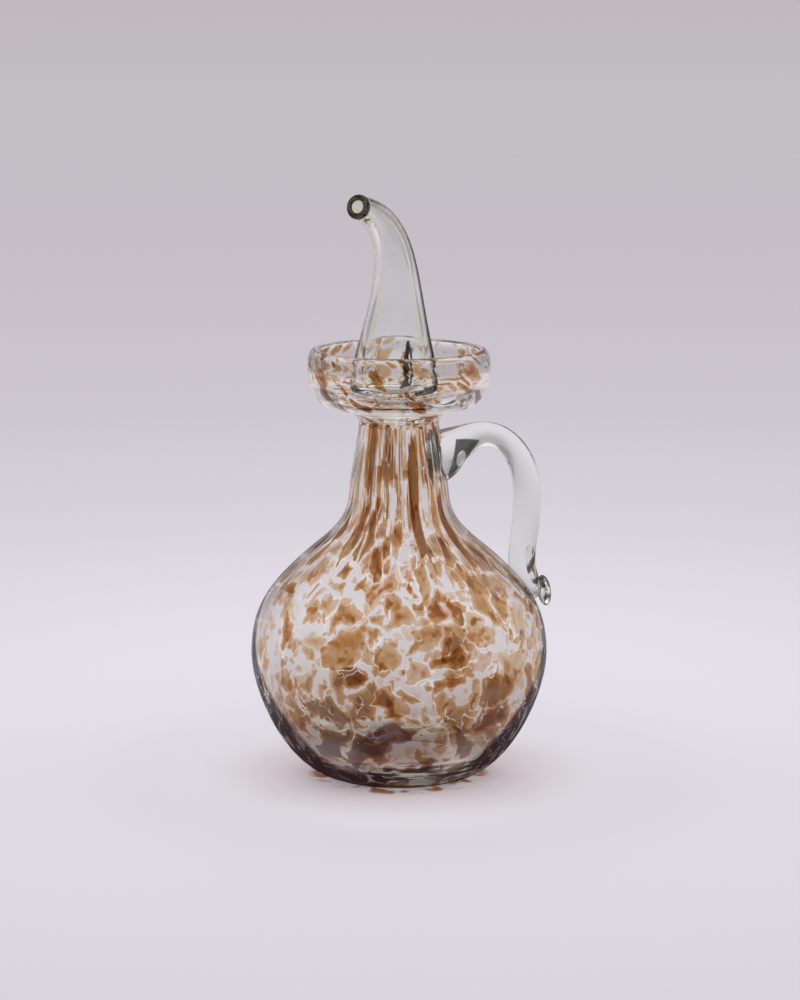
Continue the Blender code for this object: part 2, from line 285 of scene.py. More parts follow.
horn_path = curve_through(
    "horn_path",
    [
        (0.0, FOOT_HEIGHT - STEM_DROP, 90, 0.3, 0.33),
        (0.0, FOOT_HEIGHT, 90, 0.33, 0.47),
        (MOUTH_REACH, MOUTH_HEIGHT, MOUTH_RISE, 0.51, 0.3),
    ],
    in_lean_plane,
    steps=48,
)
mouth = horn_path.data.splines[0].calc_length()
horn_knots = [
    (STEM_RADIUS, STEM_END, 90, 0.5, 0.35),
    (STEM_RADIUS + 0.2 * MM, STEM_DROP - 3.2 * MM, 80, 0.35, 0.45),
    (FOOT_RADIUS - 1.6 * MM, STEM_DROP - 0.8 * MM, 10, 0.35, 0.35),
    (FOOT_RADIUS, STEM_DROP + 3.0 * MM, 90, 0.45, 0.28),
    (9.1 * MM, WAIST, 99, 0.60, 0.35),
    (MOUTH_RADIUS - 0.1 * MM, mouth - 3.5 * MM, 95, 0.30, 0.35),
    (0.5 * (MOUTH_RADIUS + MOUTH_BORE), mouth, 180, 0.55, 0.55),
    (MOUTH_BORE, mouth - 2.0 * MM, 271, 0.45, 0.50),
    (6.15 * MM, WAIST, 276, 0.50, 0.50),
    (12.0 * MM, STEM_DROP + 6.0 * MM, 270, 0.40, 0.45),
    (STEM_BORE + 1.2 * MM, STEM_DROP + 0.8 * MM, 185, 0.45, 0.35),
    (STEM_BORE, STEM_DROP - 2.0 * MM, 270, 0.45, 0.35),
    (STEM_BORE, STEM_END, 270, 0.35, 0.5),
]
horn_curve = curve_through("spout_glass", horn_knots, in_outline, steps=10, closed=True)
horn = spin_outline(horn_curve, 96)

# Points nearer to the axis than the middle of the wall belong to the bore.
middle_wall = [(STEM_DROP - 9.0 * MM, 6.8 * MM), (STEM_DROP, 9.5 * MM), (STEM_DROP + 4.0 * MM, 14.5 * MM)]
middle_wall += [(WAIST, 7.6 * MM), (mouth - 3.0 * MM, 3.6 * MM), (mouth, 2.6 * MM)]
along, middle_radius = zip(*middle_wall)
bore = [
    math.hypot(*vertex.co.xy) < np.interp(vertex.co.z, along, middle_radius) for vertex in horn.data.vertices
]
horn.data.attributes.new("bore", "FLOAT", "POINT").data.foreach_set("value", np.array(bore, np.float32))
bend_along(horn, horn_path)
print("horn is", round((mouth - STEM_DROP) / MM, 1), "mm along its bend")

# %% Cut the slit in the foot
SLIT_TURN = math.radians(61.0)
SLIT_WIDTH = 3.2 * MM
SLIT_LOW, SLIT_SHOULDER, SLIT_TOP = 149.0 * MM, 166.0 * MM, 173.5 * MM
SLIT_FROM, SLIT_LENGTH = 9.4 * MM, 10.0 * MM
SLIT_TOP_SHARE = 0.08  # of its width

bpy.ops.object.select_all(action="DESELECT")
bpy.ops.mesh.primitive_plane_add(size=1.0, location=(0, 0, 0))
blade = bpy.context.object
bpy.ops.object.mode_set(mode="EDIT")
bpy.ops.mesh.select_all(action="SELECT")
bpy.ops.transform.resize(value=(SLIT_WIDTH, SLIT_SHOULDER - SLIT_LOW, 1.0))
bpy.ops.transform.rotate(value=-math.pi / 2, orient_axis="X", center_override=(0, 0, 0))
bpy.ops.transform.translate(value=(0, SLIT_FROM, 0.5 * (SLIT_LOW + SLIT_SHOULDER)))
bpy.ops.mesh.extrude_region_move(TRANSFORM_OT_translate={"value": (0, SLIT_LENGTH, 0)})
bpy.ops.mesh.select_all(action="SELECT")
bpy.ops.mesh.normals_make_consistent(inside=False)
bpy.ops.mesh.select_all(action="DESELECT")
bpy.ops.object.mode_set(mode="OBJECT")

# Its top face is drawn up to a narrow ridge.
mesh = blade.data
for face in mesh.polygons:
    face.select = all(mesh.vertices[i].co.z > SLIT_SHOULDER - 0.01 * MM for i in face.vertices)
bpy.ops.object.mode_set(mode="EDIT")
bpy.ops.mesh.select_mode(type="FACE")
bpy.ops.mesh.extrude_region_move(TRANSFORM_OT_translate={"value": (0, 0, SLIT_TOP - SLIT_SHOULDER)})
ridge = (0, SLIT_FROM + 0.5 * SLIT_LENGTH, SLIT_TOP)
bpy.ops.transform.resize(value=(SLIT_TOP_SHARE, 1.0, 1.0), center_override=ridge)
bpy.ops.object.mode_set(mode="OBJECT")
blade.rotation_euler = (0.0, 0.0, SLIT_TURN - math.pi / 2)
blade.location = (POURER_OFFSET, 0.0, 0.0)
bpy.ops.object.transform_apply(location=True, rotation=True, scale=True)
print("blade", [round(side / MM, 1) for side in blade.dimensions])
cut_or_join(horn, blade, "DIFFERENCE")
horn.name = "spout_glass"

# %% Shade both pieces smooth, but for their real edges
SMOOTH_BELOW = math.radians(38.0)

for piece in (bottle, horn):
    select_only(piece)
    bpy.ops.object.shade_smooth_by_angle(angle=SMOOTH_BELOW)

# %% [markdown]
# ## Where the chips were on the gather
# The chips lay evenly on a small gather of glass. Blowing carried them along: on the neck the wall
# was drawn long and narrow, so a round chip became a streak. A pattern that keeps its size
# everywhere would look printed. So each point of the wall remembers where it lay before: its way
# round stays, and its way up is shortened as the circle that it lies on grew smaller.

# %% Follow the wall back to the gather
ON_WALL = 0.4 * MM  # a point nearer than this to an outline lies on that wall
CURVE_STEPS = 240


def outline_points(knots):
    curve_through("ruler", knots, in_outline, steps=CURVE_STEPS)
    bpy.ops.object.convert(target="MESH")
    ruler = bpy.context.object
    points = np.array([vertex.co[:] for vertex in ruler.data.vertices])[:, [0, 2]]
    bpy.data.objects.remove(ruler, do_unlink=True)
    return points


def nearest(points, outline):
    """For each point, the distance to the outline and the number of its nearest point there."""
    tree = KDTree(len(outline))
    for number, (across, up) in enumerate(outline):
        tree.insert((across, up, 0.0), number)
    tree.balance()
    found = [tree.find((float(across), float(up), 0.0)) for across, up in points]
    return np.array([hit[2] for hit in found]), np.array([hit[1] for hit in found])


outside = outline_points(outer_knots())
inside = outline_points(outer_knots()[-1:] + inner_knots())
count = len(bottle.data.vertices)
spots = np.empty(count * 3, np.float32)
bottle.data.vertices.foreach_get("co", spots)
spots = spots.reshape(-1, 3)
radius = np.hypot(spots[:, 0], spots[:, 1])
section = np.column_stack([radius, spots[:, 2]])
off_outside, index = nearest(section, outside)
off_inside, _ = nearest(section, inside)
flecked = ((off_outside < off_inside) & (off_outside < ON_WALL)).astype(np.float32)
added = (np.minimum(off_inside, off_outside) > ON_WALL).astype(np.float32)
print("share of points on the flecked outer wall:", round(float(flecked.mean()), 3))

# %% The way up on the gather
CUP_FINENESS = 1.25  # how much finer the chips are on the cup than at the belly
CUP_TWIST = 18.0  # radians per metre of height
NECK_DRAW = 0.8
CUP_FROM, CUP_FADE = 4.0 * MM, 8.0 * MM  # above the waist of the neck

belly = int(outside[:, 0].argmax())
steps_along = np.linalg.norm(np.diff(outside, axis=0), axis=1)
circle = 0.5 * (outside[1:, 0] + outside[:-1, 0])
shortened = np.minimum(circle / outside[belly, 0], 1.0) ** NECK_DRAW * steps_along
in_cup = outside[1:, 1] > NECK_WAIST_HEIGHT + CUP_FROM
shortened[in_cup] = CUP_FINENESS * steps_along[in_cup]
way_up = np.concatenate([[0.0], np.cumsum(shortened)])
way_up += outside[belly, 1] - way_up[belly]
way_up[:belly] = outside[:belly, 1]
way_round = np.full(len(outside), outside[belly, 0])
way_round[:belly] = outside[:belly, 0]
on_cup = np.clip((outside[:, 1] - NECK_WAIST_HEIGHT) / CUP_FADE, 0.0, 1.0)
way_round += on_cup * (CUP_FINENESS * outside[:, 0] - way_round)
twist = CUP_TWIST * on_cup * (outside[:, 1] - NECK_WAIST_HEIGHT)
turn = np.arctan2(spots[:, 1], spots[:, 0]) + twist[index]
gather = np.column_stack([way_round[index] * np.cos(turn), way_round[index] * np.sin(turn), way_up[index]])
for name, kind, values, field in (
    ("flecked", "FLOAT", flecked, "value"),
    ("added", "FLOAT", added, "value"),
    ("gather", "FLOAT_VECTOR", gather.astype(np.float32).ravel(), "vector"),
):
    bottle.data.attributes.new(name, kind, "POINT").data.foreach_set(field, values)
print("the wall of", round(RIM_HEIGHT / MM), "mm came from", round(way_up[-1] / MM), "mm of gather")

# %% [markdown]
# ## Shader sums
# A shader is a chain of nodes. Written as sums it stays readable, so one small class holds a
# node's output, and a sum on it adds the Math nodes that the sum needs.

# %% A socket that can be summed
class Wire:
    """The output of a node. Arithmetic on it adds Math nodes, and make() adds any other node."""

    def __init__(self, tree, socket):
        self.tree, self.socket = tree, socket

    @classmethod
    def make(cls, tree, kind, settings=None, inputs=None, output=0):
        """A node of that kind, its settings first, then its sockets' values or links."""
        node = tree.nodes.new(kind)
        for name, value in (settings or {}).items():
            if name == "stops":
                ramp = node.color_ramp.elements
                while len(ramp) < len(value):
                    ramp.new(0.5)
                for element, (spot, colour) in zip(ramp, value):
                    element.position = spot
                    element.color = (*colour, 1.0)
            else:
                setattr(node, name, value)
        for name, value in (inputs or {}).items():
            if isinstance(value, Wire):
                tree.links.new(value.socket, node.inputs[name])
            else:
                node.inputs[name].default_value = value
        return cls(tree, node.outputs[output])

    def math(self, operation, *others):
        values = dict(enumerate((self, *others)))
        return Wire.make(self.tree, "ShaderNodeMath", {"operation": operation}, values)

    def __add__(self, other):
        return self.math("ADD", other)

    def __mul__(self, other):
        return self.math("MULTIPLY", other)

    def __sub__(self, other):
        return self.math("SUBTRACT", other)

    def __rsub__(self, other):
        return self.math("MULTIPLY", -1.0).math("ADD", other)

    def __truediv__(self, other):
        return self.math("DIVIDE", other)

    __radd__ = __add__
    __rmul__ = __mul__

    def split(self):
        """The three parts of a colour or a vector."""
        node = self.tree.nodes.new("ShaderNodeSeparateXYZ")
        self.tree.links.new(self.socket, node.inputs[0])
        return [Wire(self.tree, socket) for socket in node.outputs]

    def smooth(self, low, high):
        """0 below low, 1 above high, and smooth between."""
        settings = {"interpolation_type": "SMOOTHSTEP"}
        return Wire.make(self.tree, "ShaderNodeMapRange", settings, {0: self, 1: low, 2: high})

    def over_mm(self, low, high):
        """The same for a length, with low and high in millimetres."""
        return self.smooth(low * MM, high * MM)

    def mix(self, low, high):
        """The colour low where this is 0, and high where it is 1."""
        settings = {"data_type": "RGBA"}
        return Wire.make(self.tree, "ShaderNodeMix", settings, {0: self, 6: low, 7: high}, output=2)


def new_material(name):
    material = bpy.data.materials.new(name)
    material.use_nodes = True
    tree = material.node_tree
    tree.nodes.clear()
    return material, tree


def finish_material(tree, shader):
    out = tree.nodes.new("ShaderNodeOutputMaterial")
    tree.links.new(shader.socket, out.inputs["Surface"])


# %% [markdown]
# ## Flecked glass
# Amber glass takes out blue first, so a thin chip is tan, a thick one is brown, and two that
# overlap are darker still. The chips' thickness is added up, and one ramp turns it into colour.
# A few small sums come first, which all the glass uses.

# %% Small sums for places and colours
def vector_math(tree, operation, first, second, output=0):
    settings = {"operation": operation}
    return Wire.make(tree, "ShaderNodeVectorMath", settings, {0: first, 1: second}, output)


def dot(tree, place, axis):
    return vector_math(tree, "DOT_PRODUCT", place, axis, output=1)


def noise(tree, where, scale, detail, output=0):
    inputs = {"Vector": where, "Scale": scale, "Detail": detail}
    return Wire.make(tree, "ShaderNodeTexNoise", {}, inputs, output)


def attribute(tree, name, output):
    return Wire.make(tree, "ShaderNodeAttribute", {"attribute_name": name}, output=output)


def away_from(tree, place, spot, stretch=(1.0, 1.0, 1.0)):
    """The distance from a spot, on a space that is stretched, so that the mark is an oval."""
    moved = vector_math(tree, "SUBTRACT", place, spot)
    scaled = vector_math(tree, "MULTIPLY", moved, stretch)
    return Wire.make(tree, "ShaderNodeVectorMath", {"operation": "LENGTH"}, {0: scaled}, 1)


def oval(tree, at, across, up, tilt, half_long, half_wide):
    """1 in an oval mark on the handle's plane, and 0 outside it."""
    plane = Vector((math.cos(HANDLE_TURN), math.sin(HANDLE_TURN), 0.0))
    turn = math.radians(tilt)
    middle = in_handle_plane(across, up)
    lengthwise = plane * math.cos(turn) + Vector((0, 0, math.sin(turn)))
    crosswise = plane * -math.sin(turn) + Vector((0, 0, math.cos(turn)))
    along = (dot(tree, at, lengthwise) - lengthwise.dot(middle)) / half_long
    aside = (dot(tree, at, crosswise) - crosswise.dot(middle)) / half_wide
    return (along * along + aside * aside).smooth(1.15, 0.85)


def times(tree, first, second, share=1.0):
    """The product of two colours, or a share of the way to it."""
    settings = {"data_type": "RGBA", "blend_type": "MULTIPLY"}
    return Wire.make(tree, "ShaderNodeMix", settings, {0: share, 6: first, 7: second}, output=2)


# %% Clear glass, and clear glass with marks on it
GLASS_INDEX = 1.5
SOFT_MIRROR = (0.40, 0.38, 0.36, 1.0)  # tint of the reflections, which are weak and warm
PALE_SURFACE = (0.3, 0.3, 0.3, 1.0)


def clear_glass(tree, colour, normal=None):
    inputs = {
        "Base Color": colour, "Roughness": 0.0, "IOR": GLASS_INDEX, "Transmission Weight": 1.0,
        "Specular Tint": SOFT_MIRROR,
    }
    if normal:
        inputs["Normal"] = normal
    return Wire.make(tree, "ShaderNodeBsdfPrincipled", {}, inputs)


def glass_with(tree, colour, normal, dark, dark_colour, bright, glint):
    """Clear glass with a share of dark surface where it hides the light, which is painted shade,
    and of pale glowing surface where it gathers it, which is a painted highlight."""
    dark_inputs = {"Base Color": dark_colour, "Roughness": 1.0, "Specular IOR Level": 0.0}
    pale_inputs = {
        "Base Color": PALE_SURFACE, "Roughness": 0.4,
        "Emission Color": glint, "Emission Strength": 1.0,
    }
    shade = Wire.make(tree, "ShaderNodeBsdfPrincipled", {}, dark_inputs)
    pale = Wire.make(tree, "ShaderNodeBsdfPrincipled", {}, pale_inputs)
    glass = clear_glass(tree, colour, normal)
    mixed = Wire.make(tree, "ShaderNodeMixShader", {}, {0: dark, 1: glass, 2: shade})
    return Wire.make(tree, "ShaderNodeMixShader", {}, {0: bright, 1: mixed, 2: pale})


# %% [markdown]
# ## Chips from cells
# A Voronoi cell is a chip, if the cell's first random number is under the share. The second says
# how thick the chip is, and the third how far it keeps from its neighbours. Its edge is broken
# up by a fine noise. Long chips lean, as they do where the glass was twisted while it was drawn.

# %% One layer of chips
CELL_TILT = 0.4  # radians, so that no cell wall lies along an axis


def chips(tree, where, size, share, seed, ragged, tall=1.0, lean=0.0, rounded=False):
    """How thick the chip is at a point, its shade, and the pale line just outside it."""
    turned = {0: where, 1: (seed, seed, seed), 2: (CELL_TILT, lean, 0.0), 3: (1.0, 1.0, tall)}
    moved = Wire.make(tree, "ShaderNodeMapping", {"vector_type": "TEXTURE"}, turned)
    cell_inputs = {"Vector": moved, "Scale": 1.0 / size}
    cell = Wire.make(tree, "ShaderNodeTexVoronoi", {"feature": "F1"}, cell_inputs, 1)
    chance, depth, shade = cell.split()
    there = chance.math("LESS_THAN", share)
    if rounded:
        from_middle = Wire(tree, cell.socket.node.outputs[0])
        far = (0.46 - 0.14 * shade - from_middle) * size + 0.5 * ragged
    else:
        from_edge = Wire.make(tree, "ShaderNodeTexVoronoi", {"feature": "DISTANCE_TO_EDGE"}, cell_inputs)
        far = (from_edge - 0.02 - 0.11 * shade) * size + ragged
    body = far.smooth(0.0, (0.08 + 0.40 * depth) * MM) * there
    heart = 0.52 + 0.56 * far.over_mm(0.2, 3.0)
    line = far.over_mm(-0.42, -0.14) * far.over_mm(0.12, -0.04) * there
    return body * heart * (0.36 + 1.05 * depth), shade * body, line


# %% What all parts of the wall's pattern read
DRIFT_SCALE, FINE_SCALE = 95.0, 380.0
CORD_SCALES = (260.0, 260.0, 28.0)  # narrow round the bottle, long up the wall
# The front share keeps the painted shade of the foot and of the low bands mostly on the side towards the
# camera.
BACK_SHARE = 0.20  # how much of the foot's dark marks is left on the side away from the camera


def wall_values(tree):
    """Places, zones and noises of the wall, made once and shared."""
    wall = SimpleNamespace(tree=tree)
    wall.at = Wire.make(tree, "ShaderNodeTexCoord", {}, output=3)
    wall.gather = attribute(tree, "gather", 1)
    wall.flecks = attribute(tree, "flecked", 2)
    wall.added = attribute(tree, "added", 2)
    wall.facing = Wire.make(tree, "ShaderNodeLayerWeight", {}, {"Blend": 0.5}, 1)
    wall.height = dot(tree, wall.at, (0.0, 0.0, 1.0))
    wall.across = dot(tree, wall.at, (1.0, 0.0, 0.0))
    wall.to_side = wall.across.math("ABSOLUTE")
    wall.on_cup = wall.height.over_mm(143, 150)
    wall.on_neck = wall.height.over_mm(76, 100) * (1.0 - wall.on_cup)
    wall.flank = wall.to_side.over_mm(10, 22) * wall.height.over_mm(30, 18)
    forwards = dot(tree, wall.at, (0.0, -1.0, 0.0))
    wall.front = BACK_SHARE + (1.0 - BACK_SHARE) * forwards.over_mm(-15, 5)
    wall.drift = noise(tree, wall.gather, DRIFT_SCALE, 1.5, output=1)
    wall.fine = noise(tree, wall.gather, FINE_SCALE, 2.0)
    drawn = vector_math(tree, "MULTIPLY", wall.gather, CORD_SCALES)
    wall.cords = noise(tree, drawn, 1.0, 2.0)
    return wall


# %% Three layers of chips
CHIP_SHARES = (0.36, 0.41, 0.36)
CHIP_SIZES = (12.5 * MM, 7.4 * MM, 4.4 * MM)
DRIFT_REACH = 11.0 * MM
RAGGED_REACH = 1.5 * MM
UNEVEN_SCALE = 190.0


def chip_layers(wall):
    """How thick the amber is, how red it is, and the pale lines. Adds the drifted place to the wall."""
    tree = wall.tree
    centred = vector_math(tree, "SUBTRACT", wall.drift, (0.5, 0.5, 0.5))
    reach = (1.0 - 0.65 * wall.on_neck) * DRIFT_REACH
    moved = Wire.make(tree, "ShaderNodeVectorMath", {"operation": "SCALE"}, {0: centred, "Scale": reach})
    wall.place = vector_math(tree, "ADD", wall.gather, moved)
    wall.ragged = (wall.fine - 0.5) * RAGGED_REACH

    neck_streaks = wall.on_neck * wall.height.over_mm(140, 118)
    share = 1.0 - 0.25 * wall.on_cup + 0.38 * neck_streaks + 0.40 * wall.flank
    big_share, mid_share, small_share = (part * share for part in CHIP_SHARES)
    big_size, mid_size, small_size = CHIP_SIZES
    big, shade, big_line = chips(tree, wall.place, big_size, big_share, 0.0, wall.ragged, 1.45, 0.5)
    mid, _, mid_line = chips(tree, wall.place, mid_size, mid_share, 0.371, wall.ragged, 1.35, -0.5)
    small, _, small_line = chips(tree, wall.place, small_size, small_share, 0.713, wall.ragged, rounded=True)

    low = wall.height.over_mm(50, 5)
    heel = wall.on_cup * wall.height.over_mm(158, 152)
    uneven = noise(tree, wall.gather, UNEVEN_SCALE, 2.0)
    thick = (0.70 * big + 0.60 * mid + 0.45 * small) * (0.55 + 0.9 * uneven) * wall.flecks
    thick = thick * (1.0 + 0.4 * low + 0.4 * wall.on_neck + 0.5 * wall.on_cup + 0.3 * heel)
    red = (shade.smooth(0.1, 0.8) + 0.7 * low) * wall.flecks
    line = big_line.math("MAXIMUM", mid_line).math("MAXIMUM", small_line * 0.7)
    return thick, red, line


# %% The colour of the wall
AMBER = [
    (0.0, (0.94, 0.93, 0.91)),
    (0.15, (0.82, 0.61, 0.41)),
    (0.30, (0.67, 0.375, 0.160)),
    (0.50, (0.48, 0.195, 0.040)),
    (0.75, (0.28, 0.084, 0.008)),
    (1.0, (0.13, 0.030, 0.004)),
]
CLEAR = (*AMBER[0][1], 1.0)
REDDER = (1.0, 0.82, 0.78, 1.0)
PURPLE = (0.19, 0.065, 0.105, 1.0)
LOW_GREY, FOOT_GREEN = (0.62, 0.60, 0.55, 1.0), (0.60, 0.72, 0.60, 1.0)
PURPLE_PATCHES = [
    # The middle on the gather, the stretch of the space round it, and the two distances in mm
    # between which it fades.
    ((-0.0030, -0.0510, 0.0280), (0.6, 0.4, 1.0), (5.6, 4.6)),
    ((-0.0105, -0.0465, 0.0225), (0.5, 0.4, 1.3), (5.0, 3.6)),
]
DEEP_PATCHES = [
    # The middle on the gather, and the tint.
    ((0.0167, -0.0363, 0.0080), (0.20, 0.070, 0.040, 1.0)),
    ((-0.0228, -0.0365, 0.0100), (0.42, 0.180, 0.110, 1.0)),
]


def wall_colour(wall, thick, red):
    """Amber by its thickness, a purple chip low in front, greyer towards the bottom, and the green of the
    thick foot.
    """
    tree = wall.tree
    colour = Wire.make(tree, "ShaderNodeValToRGB", {"stops": AMBER}, {0: thick})
    colour = times(tree, colour, REDDER, red)
    first, second = (away_from(tree, wall.place, *patch[:2]).over_mm(*patch[2]) for patch in PURPLE_PATCHES)
    colour = times(tree, colour, PURPLE, first.math("MAXIMUM", second) * wall.flecks)
    for spot, tint in DEEP_PATCHES:
        deep = (away_from(tree, wall.place, spot, (0.32, 0.40, 1.0)) + wall.ragged).over_mm(3.2, 2.6)
        colour = times(tree, colour, tint, deep * wall.flecks)
    # The wall gets greyer towards the bottom.
    colour = times(tree, colour, LOW_GREY, wall.height.over_mm(70, 15) * wall.flecks)
    return times(tree, colour, FOOT_GREEN, wall.height.over_mm(12, 5) * wall.flecks)


# %% [markdown]
# ## Where the wall is dark
# Thick glass that is seen along its wall bends dark surroundings into view. That darkness is
# painted shade here: a share of dark surface makes dark bands at the edges, widest low down,
# dark streaks over the foot and a thin dark line on the crest of the rim. The bands are broken up
# by the cords, which are the long waves that drawing leaves in the glass.

# %% Painted shade: dark bands, foot and rim
STREAK_SCALES = (45.0, 45.0, 620.0)  # flat and wide
# Colours of the painted shade: red and brown at the foot, violet on the sides, brown on the neck.
FOOT_SHADE_RED, FOOT_SHADE_BROWN = (0.042, 0.016, 0.020, 1.0), (0.050, 0.026, 0.018, 1.0)
SIDE_SHADE_VIOLET, NECK_SHADE_BROWN = (0.034, 0.024, 0.034, 1.0), (0.110, 0.050, 0.026, 1.0)


def dark_places(wall):
    """The share of painted shade, its colour, and the gaps between the foot's streaks, which get a painted
    highlight.
    """
    tree, height, across = wall.tree, wall.height, wall.across
    lower = height.over_mm(85, 10)
    starts = 0.86 - 0.37 * lower + 0.33 * height.over_mm(22, 10) * wall.to_side.over_mm(36, 20)
    bands = ((wall.facing - starts) / (1.0 - starts)).smooth(0.0, 0.26 - 0.12 * lower)
    bands = bands * (0.62 + 0.33 * lower - 0.35 * wall.on_cup)
    bands = bands * (0.55 + 0.45 * wall.cords.smooth(0.34, 0.48))
    bands = bands * (1.0 - (1.0 - wall.front) * height.over_mm(36, 20))

    clearer = across.over_mm(-8, 1) * across.over_mm(36, 24)
    left_rise = 3.5 * MM * across.over_mm(0, -10)
    foot = (height - left_rise).over_mm(8.5, 5.5) * (0.92 - 0.75 * clearer) * wall.front
    foot = foot * away_from(tree, wall.at, (0.0, 0.0, 0.0), (1.0, 1.0, 0.0)).over_mm(21, 26)
    settled = noise(tree, vector_math(tree, "MULTIPLY", wall.at, STREAK_SCALES), 1.0, 2.0)
    streaks = settled.smooth(0.50, 0.57) * height.over_mm(17.5, 13.5)
    foot = foot.math("MAXIMUM", 0.85 * streaks * wall.front)
    rim = 0.55 * height.over_mm(172.15, 172.50)
    dark = bands.math("MAXIMUM", foot).math("MAXIMUM", rim) * wall.flecks

    colour = clearer.mix(FOOT_SHADE_RED, FOOT_SHADE_BROWN)
    colour = height.over_mm(12, 30).mix(colour, SIDE_SHADE_VIOLET)
    colour = height.over_mm(70, 100).mix(colour, NECK_SHADE_BROWN)
    gaps = (1.0 - streaks) * height.over_mm(18.5, 15) * height.over_mm(3.0, 6.5)
    gaps = gaps * across.over_mm(-30, -8) * across.over_mm(40, 20) * wall.front.smooth(0.4, 1.0)
    return dark, colour, gaps


# %% [markdown]
# ## Marks of the handle
# Where the hot rod was pressed on, the glass folds. The dark wedge seen there, with a clear window
# in it, is painted shade, and so are a dark edge on the rod's underside and the dark marks in the
# folded curl at the other end. A brown mottled patch lies just above the curl.

# %% The handle's painted shade: wedge, underside and curl, and its brown patch
WEDGE_TILT = math.radians(65.0)
WEDGE_APEX = Vector((18.3 * MM, 118.5 * MM))
WEDGE_WIDENS = 0.19  # half its width, for each length on from the apex


def handle_marks(wall):
    """The share of painted shade on the handle, and the share of its brown patch."""
    tree, at, height, fine = wall.tree, wall.at, wall.height, wall.fine
    near = dot(tree, at, (math.sin(HANDLE_TURN), -math.cos(HANDLE_TURN), 0.0)).over_mm(-1, 1)
    in_plane = dot(tree, at, (math.cos(HANDLE_TURN), math.sin(HANDLE_TURN), 0.0))
    ahead = Vector((math.cos(WEDGE_TILT), math.sin(WEDGE_TILT)))
    apex_aside = WEDGE_APEX.y * ahead.x - WEDGE_APEX.x * ahead.y
    along = in_plane * ahead.x + height * ahead.y - WEDGE_APEX.dot(ahead)
    aside = (height * ahead.x - in_plane * ahead.y - apex_aside).math("ABSOLUTE")
    wedge = (along * WEDGE_WIDENS + 1.2 * MM - aside).over_mm(-0.3, 0.3) * along.over_mm(-0.5, 0.3)
    from_crest = in_plane - 23.5 * MM
    wedge = wedge * (height + from_crest * from_crest * 14.0).over_mm(136.8, 136.0) * near
    window = oval(tree, at, 23.6 * MM, 128.6 * MM, 75.0, 3.3 * MM, 2.1 * MM)
    # The painted shade of the wedge is broken up by a noise on its lower part.
    broken_shade = 1.0 - 0.5 * fine.smooth(0.56, 0.64) * height.over_mm(130, 126)

    normal = Wire.make(tree, "ShaderNodeTexCoord", {}, output=1)
    downwards = dot(tree, normal, (-0.80, -0.20, -0.56)).smooth(0.3, 0.7)
    underside = wall.facing.smooth(0.84, 0.94) * downwards
    underside = underside * height.over_mm(131, 127) * height.over_mm(90, 96)
    curl = in_plane.over_mm(55.5, 57.5) * height.over_mm(82, 80)
    curl = curl * wall.facing.smooth(0.45, 0.75).math("MAXIMUM", fine.smooth(0.54, 0.60))
    # A brown mottled patch above the curl, tinted brown and darkened in mottles.
    brown_patch = oval(tree, at, 54.6 * MM, 83.6 * MM, 102.0, 8.4 * MM, 3.1 * MM) * near
    # The wedge, the underside and the curl's marks are painted shade.
    marks = 0.88 * wedge * (1.0 - window) * broken_shade + 0.75 * underside + 0.8 * curl
    marks = marks + brown_patch * (0.10 + 0.75 * fine.smooth(0.44, 0.52))
    return wall.added * marks.math("MINIMUM", 0.9), brown_patch * fine.smooth(0.42, 0.50) * wall.added


# %% [markdown]
# ## Where the wall is pale
# Clear gaps between chips catch the light as fine lines, and each small bubble as a dot. Thick
# glass also gathers light in the corners of the cup and low on the flanks. A render loses the
# rays that go to and fro in there, so a pale place has a small glow, in the colour of its chip.

# %% Lines, seeds and lit corners
SEED_CELL = 5.5 * MM


def pale_places(wall, line, thick, gaps):
    """The share of pale, glowing surface on the bottle's outer wall, which is painted highlight."""
    cell_inputs = {"Vector": wall.gather, "Scale": 1.0 / SEED_CELL}
    from_seed = Wire.make(wall.tree, "ShaderNodeTexVoronoi", {"feature": "F1"}, cell_inputs)
    seed = (from_seed * SEED_CELL).over_mm(0.42, 0.22)
    bare = thick.smooth(0.30, 0.08)
    line = line * 0.50 * wall.drift.split()[2].smooth(0.45, 0.58) * bare
    line = line * wall.height.over_mm(10, 40) * (1.0 - 0.7 * wall.on_cup)
    corner = wall.on_cup * wall.height.over_mm(168, 160) * wall.facing.smooth(0.35, 0.65)
    hollow = wall.flank * wall.height.over_mm(5, 10) * wall.facing.smooth(0.60, 0.50)
    return (line + 0.6 * seed + 0.32 * gaps * bare + 0.45 * corner + 0.35 * hollow) * wall.flecks


# %% The whole glass of the bottle and its handle
HANDLE_TINT, PATCH_BROWN = (0.95, 0.985, 0.965, 1.0), (0.50, 0.36, 0.22, 1.0)
# The olive colours of the painted shade on the handle and at its root.
HANDLE_SHADE_OLIVE, ROOT_SHADE_OLIVE = (0.052, 0.060, 0.042, 1.0), (0.035, 0.040, 0.024, 1.0)
GLOW_SHARE = (0.70, 0.67, 0.67, 1.0)
RELIEF = 0.2 * MM


